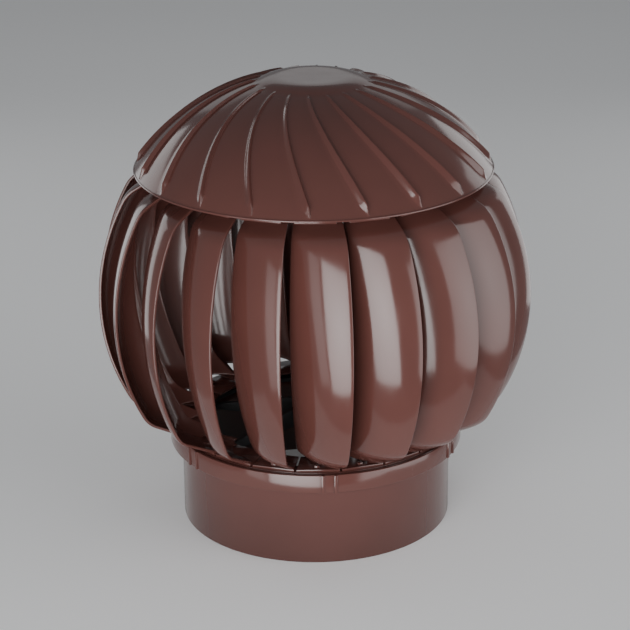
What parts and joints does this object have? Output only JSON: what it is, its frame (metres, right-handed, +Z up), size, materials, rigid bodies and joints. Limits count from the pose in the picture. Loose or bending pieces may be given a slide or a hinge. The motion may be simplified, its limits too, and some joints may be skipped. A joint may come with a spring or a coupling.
{
  "type": "roof turbine ventilator",
  "caption": "Wind-driven roof ventilator: a globe of curved blades under a ribbed dome spins on an axle above a ridged collar that slips over a vent pipe.",
  "frame": {"origin": "centre of the collar's bottom rim", "axes": "+Z up along the rotor's axle; -Y is the front, and +X is to the right seen from the front"},
  "size_m": [0.2596, 0.2596, 0.2774],
  "materials": {
    "brown_plastic": "glossy injection-moulded dark brown",
    "black_plastic": "fine satin, filled nylon",
    "plain_steel": "turned, bright",
    "zinc_steel": "zinc plated",
    "bearing_steel": "ground and polished"
  },
  "bodies": {
    "base": {"collar": "brown_plastic", "spider": "black_plastic", "axle": "plain_steel", "axle_washer": "zinc_steel", "axle_nut": "zinc_steel", "lower_bearing_inner_race": "bearing_steel", "race_spacer": "plain_steel", "upper_bearing_inner_race": "bearing_steel", "top_washer": "zinc_steel", "top_nut": "zinc_steel"},
    "rotor": {"lower_bearing_outer_race": "bearing_steel", "upper_bearing_outer_race": "bearing_steel", "hub": "black_plastic", "lower_ring": "brown_plastic", "cap": "brown_plastic", "blade_01": "brown_plastic", "blade_02": "brown_plastic", "blade_03": "brown_plastic", "blade_04": "brown_plastic", "blade_05": "brown_plastic", "blade_06": "brown_plastic", "blade_07": "brown_plastic", "blade_08": "brown_plastic", "blade_09": "brown_plastic", "blade_10": "brown_plastic", "blade_11": "brown_plastic", "blade_12": "brown_plastic", "blade_13": "brown_plastic", "blade_14": "brown_plastic", "blade_15": "brown_plastic", "blade_16": "brown_plastic", "blade_17": "brown_plastic", "blade_18": "brown_plastic", "blade_19": "brown_plastic", "blade_20": "brown_plastic"}
  },
  "joints": [
    {"name": "rotor_spin", "type": "hinge", "parent": "base", "child": "rotor", "pos_m": [0, 0, 0.2318], "axis": [0, 0, 1], "continuous": true}
  ]
}
